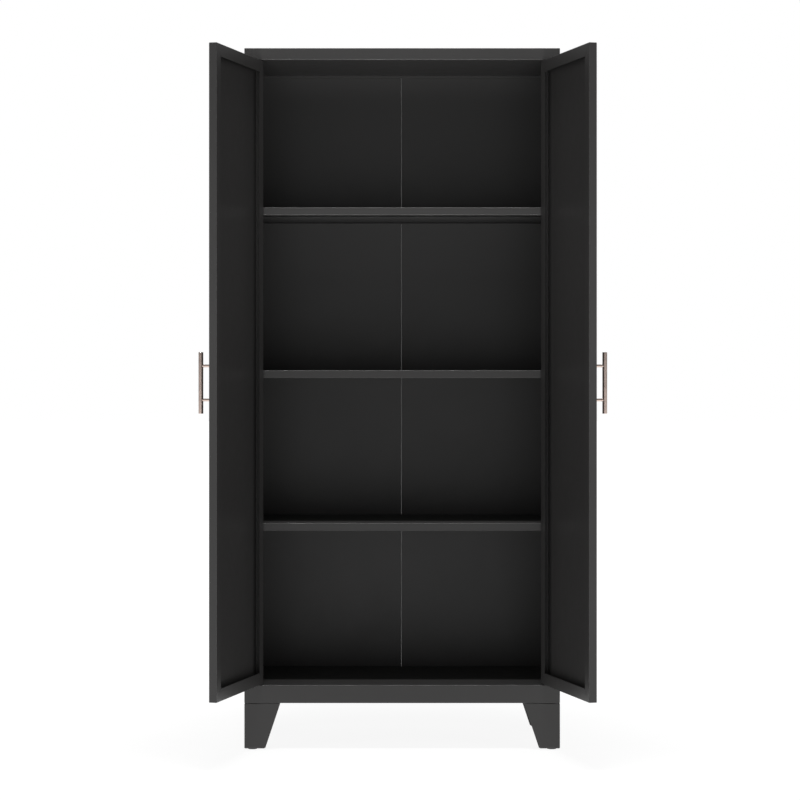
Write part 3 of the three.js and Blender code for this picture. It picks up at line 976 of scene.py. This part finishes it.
@dataclass
class PanelScrews:
    """The screws that hold the flat-packed panels together."""

    envelope: Envelope
    flange_middle: float = 10 * MM
    edge_middle: float = 15 * MM
    end_margin: float = 60 * MM
    flange_count: int = 7
    row_count: int = 4

    def build(self) -> None:
        """Makes every row of screws."""
        box = self.envelope
        outwards = Matrix.Rotation(-math.pi / 2, 4, "X")
        upright = outwards @ Matrix.Rotation(-math.pi / 2, 4, "Z")
        tall = box.rail - box.floor - 2 * self.end_margin
        deep = box.back - box.front - 2 * self.end_margin
        sheet_back = box.back - SHEET - GAP
        spaces = self.row_count - 1
        for seed, (word, side) in enumerate(SIDES):
            column = side * (box.half_width - self.flange_middle)
            place = Matrix.Translation((column, box.back, box.floor + self.end_margin)) @ upright
            row = ScrewRow(self.flange_count, tall / (self.flange_count - 1), seed)
            row.build(f"{word}_rear_flange_screws", place)
            first = column if side < 0 else self.end_margin / 2
            across = (box.half_width - self.flange_middle - self.end_margin / 2) / spaces
            edges = (("base", box.base + self.edge_middle), ("top", box.top - self.edge_middle))
            for edge, level in edges:
                place = Matrix.Translation((first, sheet_back, level)) @ outwards
                row = ScrewRow(self.row_count, across, BACK_SEED + seed)
                row.build(f"{word}_back_{edge}_screws", place)
            along = Matrix.Rotation(math.pi / 2, 4, "Z")
            tabs = (
                ("lower", box.floor + GAP + SHEET, along),
                ("upper", box.rail - GAP - SHEET, along @ Matrix.Rotation(math.pi, 4, "X")),
            )
            for tab, level, turn in tabs:
                place = Matrix.Translation((column, box.front + self.end_margin, level)) @ turn
                row = ScrewRow(self.row_count, deep / spaces, TAB_SEED + seed)
                row.build(f"{word}_{tab}_tab_screws", place)


# ---- Shelves -------------------------------------------------------------


@dataclass
class Shelf:
    """One adjustable shelf: a pan with its edges folded down."""

    word: str
    lip: float = 14 * MM

    def build(self) -> None:
        """Makes the shelf."""
        node = f"{self.word}_shelf"
        pan_over(node, f"{node}_pan", node, self.lip)


# ---- Doors ---------------------------------------------------------------


@dataclass
class Door:
    """One inset door with its handle, drawn closed and swung open about its pivot."""

    word: str
    side: int
    envelope: Envelope
    thickness: float = 20 * MM
    lip: float = 30 * MM
    fold: float = 1.1 * MM
    pivot_inset: float = 6 * MM
    clearance: float = 2 * MM
    centre_gap: float = 3 * MM
    bar_radius: float = 5.75 * MM
    bar_length: float = 148 * MM
    bar_height: float = 931 * MM
    standoff: float = 31 * MM
    bar_inset: float = 32 * MM
    post_spacing: float = 82 * MM
    bar_edge: float = 0.7 * MM
    post_radius: float = 3.4 * MM
    post_end: float = 0.6  # the post stops this far short of the bar's axis, in bar radii
    collar: float = 0.6 * MM
    collar_round: float = 0.4 * MM
    collar_height: float = 1.8 * MM
    collar_top: float = 2.2 * MM
    screw_radius: float = 4.0 * MM
    screw_height: float = 2.2 * MM

    def __post_init__(self) -> None:
        """Reads the pivot and the opening angle off the frame's joint."""
        joint = next(j for j in frame["joints"] if j["name"] == f"{self.word}_door_hinge")
        self.pivot = Vector((joint["pos_m"][0], joint["pos_m"][1], 0.0))
        self.opening = self.side * math.radians(max(abs(a) for a in joint["range_deg"]))
        self.body = f"{self.word}_door"
        self.width = abs(self.pivot.x) + self.pivot_inset - self.centre_gap / 2
        self.bottom = self.envelope.floor + self.clearance
        self.top = self.envelope.rail - self.clearance

    def closed_to_row(self) -> Matrix:
        """The matrix from the closed door, about its pivot, to where it stands open."""
        return Matrix.Translation(self.pivot) @ Matrix.Rotation(self.opening, 4, "Z")

    def build(self) -> None:
        """Makes the shell and the handle."""
        self._shell()
        self._handle()

    def _shell(self) -> None:
        """Makes the door's pan, with its skin to the front."""
        pan = Pan(self.width, self.top - self.bottom, self.thickness, self.lip, radius=self.fold)
        hinge_x = -self.pivot_inset if self.side < 0 else self.pivot_inset - self.width
        stand = Matrix.Translation((hinge_x, -self.pivot_inset, self.bottom))
        upright = Matrix.Rotation(math.radians(90), 4, "X")
        place = self.closed_to_row() @ stand @ upright
        node = f"{self.word}_door_shell"
        pan.sheet().build(f"{self.body}_pan", node, self.body, Finish.DOOR, place)

    def _handle(self) -> None:
        """Makes the bar, its two posts and their screws."""
        handle_x = -self.side * (self.width - self.pivot_inset - self.bar_inset)
        face = -self.pivot_inset
        swing = self.closed_to_row()
        half, radius, edge = self.bar_length / 2, self.bar_radius, self.bar_edge
        section = [(0.0, -half)]
        section += round_corner((radius - edge, edge - half), edge, -90, 0)
        section += round_corner((radius - edge, half - edge), edge, 0, 90)
        section += [(0.0, half)]
        place = swing @ Matrix.Translation((handle_x, face - self.standoff, self.bar_height))
        bar = turned(f"{self.word}_handle_rod", section, Finish.ROSE, place)
        settle(bar, self.body, Finish.ROSE, f"{self.word}_handle_bar")
        for word, sign in (("lower", -1), ("upper", 1)):
            height = self.bar_height + sign * self.post_spacing / 2
            out = Matrix.Rotation(math.radians(90), 4, "X")
            place = swing @ Matrix.Translation((handle_x, face, height)) @ out
            self._post(word, place)
            self._screw(word, place)

    def _post(self, word: str, place: Matrix) -> None:
        """Makes a post with a small collar against the door.

        Args:
            word: "lower" or "upper".
            place: From the post's own frame, along its Z, to the row frame.
        """
        radius, edge = self.post_radius, self.collar_round
        reach = self.standoff - self.post_end * self.bar_radius
        section = [(0.0, GAP), (radius + self.collar, GAP)]
        middle = (radius + self.collar - edge, self.collar_height - edge)
        section += round_corner(middle, edge, 0, 90, steps=4)
        section += [(radius, self.collar_top), (radius, reach), (0.0, reach)]
        post = turned(f"{self.word}_handle_{word}_stem", section, Finish.ROSE, place, facets=32)
        settle(post, self.body, Finish.ROSE, f"{self.word}_handle_{word}_post")

    def _screw(self, word: str, place: Matrix) -> None:
        """Makes the screw's head, which shows inside the door.

        Args:
            word: "lower" or "upper".
            place: The frame of the post that it holds.
        """
        flip = place @ Matrix.Rotation(math.pi, 4, "X") @ Matrix.Translation((0, 0, SHEET))
        name = f"{self.word}_handle_{word}_fastener"
        piece = pan_head(name, flip, self.screw_radius, self.screw_height, Finish.ZINC)
        settle(piece, self.body, Finish.ZINC, f"{self.word}_handle_{word}_screw")


def pan_head(
    name: str, place: Matrix, radius: float, height: float, finish: Finish, sides: int = 32,
    repeat: GeometryCanvas | None = None,
) -> bpy.types.Object:
    """Makes a cross-recessed pan head standing on Z = 0, or a row of them.

    Args:
        name: The piece's name.
        place: From the head's frame to the row frame.
        radius: The head's radius.
        height: The head's height.
        finish: Its plating.
        sides: How many sides the round has.
        repeat: A tree that sets out copies of the head, or None.

    Returns:
        The finished piece.
    """
    edge = HEAD_ROUND * height
    section = [(0.0, 0.0), (radius, 0.0), (radius, HEAD_WALL * height)]
    section += round_corner((radius - edge, edge), edge, 0, 80, steps=3)
    section += [(0.0, HEAD_CROWN * height)]
    head = turned(name, section, finish, Matrix.Identity(4), sides)
    recess = bmesh.new()
    for turn in (0.0, math.pi / 2):
        arm = bmesh.ops.create_cube(recess, size=1.0)["verts"]
        bmesh.ops.scale(recess, verts=arm, vec=(CROSS_LENGTH * radius, CROSS_WIDTH * radius, height))
        bmesh.ops.rotate(recess, verts=arm, matrix=Matrix.Rotation(turn, 3, "Z"))
        bmesh.ops.translate(recess, verts=arm, vec=(0, 0, height))
    mesh = bpy.data.meshes.new(f"{name}_recess")
    recess.to_mesh(mesh)
    recess.free()
    tool = bpy.data.objects.new(f"{name}_recess", mesh)
    bpy.context.scene.collection.objects.link(tool)
    cut_with(head, tool)
    if repeat is not None:
        repeat.put_on(head)
        plain_mesh(head)
    head.data.transform(place)
    smooth(head)
    return head


# ---- Legs and glides -----------------------------------------------------


@dataclass
class Leg:
    """One tapered angle leg with its glide; the corner is where its two faces meet."""

    word: str
    corner: tuple[float, float]
    quarters: int
    top_width: float = 91 * MM
    foot_width: float = 53 * MM
    flange: float = 22 * MM
    sheet: float = 1.5 * MM
    inset: float = 20 * MM
    pad_radius: float = 12 * MM
    stud_radius: float = 4 * MM
    closer: float = 0.2 * MM  # above the CAD leg, so that less of a seam shows
    screw_inset: float = 11 * MM
    screw_start: float = 36 * MM
    screw_pitch: float = 32 * MM
    fold: float = 2.0 * MM
    top_cut: float = 4 * MM
    foot_cut: float = 2 * MM
    tip_cut: float = 10 * MM
    mitre: float = 0.4 * MM
    foot_slant: float = 6 * MM
    foot_neck: float = 16 * MM
    pad_height: float = 2.7 * MM
    pad_rounds: tuple[float, float] = (0.9 * MM, 0.8 * MM)  # lower and upper edge
    stud_collar: float = 1.5 * MM
    stud_chamfer: float = 1 * MM

    def place(self) -> Matrix:
        """The matrix from the leg's own corner to the row frame."""
        return Matrix.Translation((*self.corner, 0.0)) @ Matrix.Rotation(
            self.quarters * math.pi / 2, 4, "Z"
        )

    def build(self) -> None:
        """Makes the leg and its glide."""
        low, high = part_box(f"{self.word}_leg")
        half = self.sheet / 2
        top, foot = high[2] + self.closer - half, low[2] + half
        sheet = FoldedSheet(thickness=self.sheet, radius=self.fold)
        notch, end = self.top_width - self.top_cut, self.foot_width - self.foot_cut
        front = [
            (half, foot), (end, foot), (self.foot_width, foot),
            (self.top_width, top), (notch, top), (half, top),
        ]
        sheet.facet(*[(x, half, z) for x, z in front])
        sheet.facet(*[(half, y, z) for y, z in front])
        tip, inner = self.top_width - self.tip_cut, self.flange + self.mitre
        ledge = [(half, half), (notch, half), (tip, self.flange), (inner, self.flange)]
        sheet.facet(*[(x, y, top) for x, y in ledge])
        sheet.facet(*[(y, x, top) for x, y in ledge])
        slant, neck = end - self.foot_slant, self.foot_neck
        plate = [(half, half), (end, half), (slant, neck), (neck, slant), (half, end)]
        sheet.facet(*[(x, y, foot) for x, y in plate])
        sheet.build(f"{self.word}_leg_angle", f"{self.word}_leg", place=self.place())
        self._screws(top - half)
        self._glide()

    def _screws(self, level: float) -> None:
        """Makes the screws under the flange that hold the leg to the base.

        Args:
            level: The height of the flange's underside.
        """
        down = Matrix.Rotation(math.pi, 4, "X")
        start = Matrix.Translation((self.screw_start, self.screw_inset, level))
        swap = Matrix.Translation((self.screw_inset, self.screw_start, level))
        turned_along = swap @ Matrix.Rotation(math.pi / 2, 4, "Z")
        for face, place in (("first", start), ("second", turned_along)):
            row = ScrewRow(2, self.screw_pitch, LEG_SEED + self.quarters)
            row.build(f"{self.word}_leg_{face}_screws", self.place() @ place @ down)

    def _glide(self) -> None:
        """Makes the glide's pad and stud."""
        low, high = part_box(f"{self.word}_glide")
        pad, stud = self.pad_radius, self.stud_radius
        thick, tall = self.pad_height, high[2] - low[2]
        lower, upper = self.pad_rounds
        section = [(0.0, 0.0)]
        section += round_corner((pad - lower, lower), lower, -90, 0)
        section += round_corner((pad - upper, thick - upper), upper, 0, 90)
        section += [
            (stud + self.stud_collar, thick), (stud, thick), (stud, tall - self.stud_chamfer),
            (stud - self.stud_chamfer, tall), (0.0, tall),
        ]
        place = self.place() @ Matrix.Translation((self.inset, self.inset, low[2]))
        piece = turned(f"{self.word}_glide_pad", section, Finish.NYLON, place)
        settle(piece, f"{self.word}_glide", Finish.NYLON, f"{self.word}_glide")


# ---- Kept nodes ----------------------------------------------------------


def dress_kept_nodes() -> None:
    """Gives the CAD nodes that still show their finish."""
    finishes = {
        "pin": Finish.ZINC,
        "nut": Finish.ZINC,
        "clip": Finish.ZINC,
        "bush": Finish.NYLON,
        "magnet": Finish.FERRITE,
    }
    for name, node in frame["nodes"].items():
        for word, finish in finishes.items():
            if word in name:
                for slot in node.material_slots:
                    slot.material = finish.material


# ---- Studio --------------------------------------------------------------


@dataclass(frozen=True)
class Softbox:
    """One rectangular light, which the camera doesn't see."""

    name: str
    place: tuple[float, float, float]
    aim: tuple[float, float, float]
    size: tuple[float, float]
    watts: float
    mirrored: bool = True  # whether shiny pieces show it
    spread: float = 180.0  # degrees

    def hang(self) -> None:
        """Adds the light to the scene."""
        data = bpy.data.lights.new(self.name, "AREA")
        data.shape = "RECTANGLE"
        data.size, data.size_y = self.size
        data.energy = self.watts
        data.spread = math.radians(self.spread)
        lamp = bpy.data.objects.new(self.name, data)
        lamp.location = self.place
        gaze = Vector(self.aim) - lamp.location
        lamp.rotation_euler = gaze.to_track_quat("-Z", "Y").to_euler()
        lamp.visible_camera = False
        lamp.visible_glossy = self.mirrored
        bpy.context.scene.collection.objects.link(lamp)


@dataclass
class Studio:
    """A white room with soft light, and the camera."""

    front: float
    eye: tuple[float, float] = (-0.0329, 0.9609)
    distance: float = 6.220
    lens: float = 110.47
    shift: tuple[float, float] = (0.01352, -0.03683)
    room: float = 1.0
    fill: float = 0.20
    floor_glow: float = 1.08
    floor_grey: float = 0.92
    floor_fade: tuple[float, float] = (0.5, 1.6)
    floor_mix: tuple[float, float] = (0.84, 0.16)  # glow's share at the middle, and what is added far out
    floor_size: float = 40.0

    def build(self) -> None:
        """Makes the camera, the floor, the world and the lights."""
        self._camera()
        self._floor()
        self._world()
        self._lights()

    def _camera(self) -> None:
        """Stands the camera level in front of the cabinet."""
        data = bpy.data.cameras.new("camera")
        data.lens = self.lens
        data.sensor_width = 36.0
        data.shift_x, data.shift_y = self.shift
        data.clip_end = 100.0
        camera = bpy.data.objects.new("camera", data)
        camera.location = (self.eye[0], self.front - self.distance, self.eye[1])
        camera.rotation_euler = (math.radians(90), 0.0, 0.0)
        bpy.context.scene.collection.objects.link(camera)
        bpy.context.scene.camera = camera

    def _floor(self) -> None:
        """Lays a pale floor that fades into the white room."""
        canvas = ShaderCanvas("pale_floor")
        distance = canvas.value(
            "ShaderNodeVectorMath", output="Value", settings={"operation": "LENGTH"},
            inputs={0: canvas.place},
        )
        grey = (*[self.floor_grey] * 3, 1.0)
        diffuse = canvas.node("ShaderNodeBsdfDiffuse", inputs={"Color": grey})
        glow = canvas.node(
            "ShaderNodeEmission", inputs={"Color": (1.0, 1.0, 1.0, 1.0), "Strength": self.floor_glow}
        )
        least, added = self.floor_mix
        share = distance.ramp(*self.floor_fade) * added + least
        mix = canvas.node(
            "ShaderNodeMixShader", inputs={0: share, 1: diffuse.outputs[0], 2: glow.outputs[0]}
        )
        canvas.node("ShaderNodeOutputMaterial", inputs={"Surface": mix.outputs[0]})
        size = self.floor_size
        corners = [(-size, -size, 0), (size, -size, 0), (size, size, 0), (-size, size, 0)]
        mesh = bpy.data.meshes.new("floor")
        mesh.from_pydata(corners, [], [(0, 1, 2, 3)])
        mesh.materials.append(canvas.material)
        floor = bpy.data.objects.new("floor", mesh)
        bpy.context.scene.collection.objects.link(floor)

    def _world(self) -> None:
        """Shows a white room, and fills it with a softer light than that."""
        world = bpy.data.worlds.new("white_room")
        world.use_nodes = True
        canvas = NodeCanvas(world.node_tree)
        background = world.node_tree.nodes["Background"]
        seen = canvas.value("ShaderNodeLightPath", output="Is Camera Ray")
        canvas.feed(background.inputs["Color"], (1.0, 1.0, 1.0, 1.0))
        canvas.feed(background.inputs["Strength"], seen * (self.room - self.fill) + self.fill)
        bpy.context.scene.world = world
        bpy.context.scene.view_settings.view_transform = "Standard"

    def _lights(self) -> None:
        """Hangs soft lights high in front, overhead and at each side, and lays a reflector."""
        middle = (0.0, 0.0, 1.0)
        Softbox("high_softbox", (-1.6, -3.6, 3.4), middle, (2.4, 1.6), watts=4.0).hang()
        overhead = Softbox("overhead", (0.0, -1.9, 9.0), (0.0, 0.0, 0.2), (2.8, 0.6), watts=420.0)
        overhead.hang()
        for word, side in SIDES:
            place = (side * 4.4, -2.6, 1.3)
            box = Softbox(
                f"{word}_softbox", place, middle, (1.6, 2.2), watts=34.0, mirrored=False
            )
            box.hang()
        reflector = Softbox(
            "reflector", (0.0, -1.35, 0.05), (0.0, 0.15, 1.75), (1.2, 0.3), watts=1.3, spread=32.0
        )
        reflector.hang()


def main() -> None:
    """Builds the cabinet's looks in order."""
    logging.basicConfig(level=logging.INFO, format="%(message)s")
    envelope = Envelope.from_frame()
    Studio(envelope.front).build()
    BodyPanels(envelope).build()
    for word, side in SIDES:
        for row in ("front", "rear"):
            SlottedStrip(f"{row}_{word}", side).build()
    PanelScrews(envelope).build()
    for word in ("lower", "middle", "upper"):
        Shelf(word).build()
    for word, side in SIDES:
        Door(word, side, envelope).build()
    wide, front, back = envelope.half_width, envelope.front, envelope.back
    corners = (
        ("front_left", -wide, front),
        ("front_right", wide, front),
        ("rear_right", wide, back),
        ("rear_left", -wide, back),
    )
    for quarters, (word, x, y) in enumerate(corners):
        Leg(word, (x, y), quarters).build()
    dress_kept_nodes()


if __name__ == "__main__":
    main()
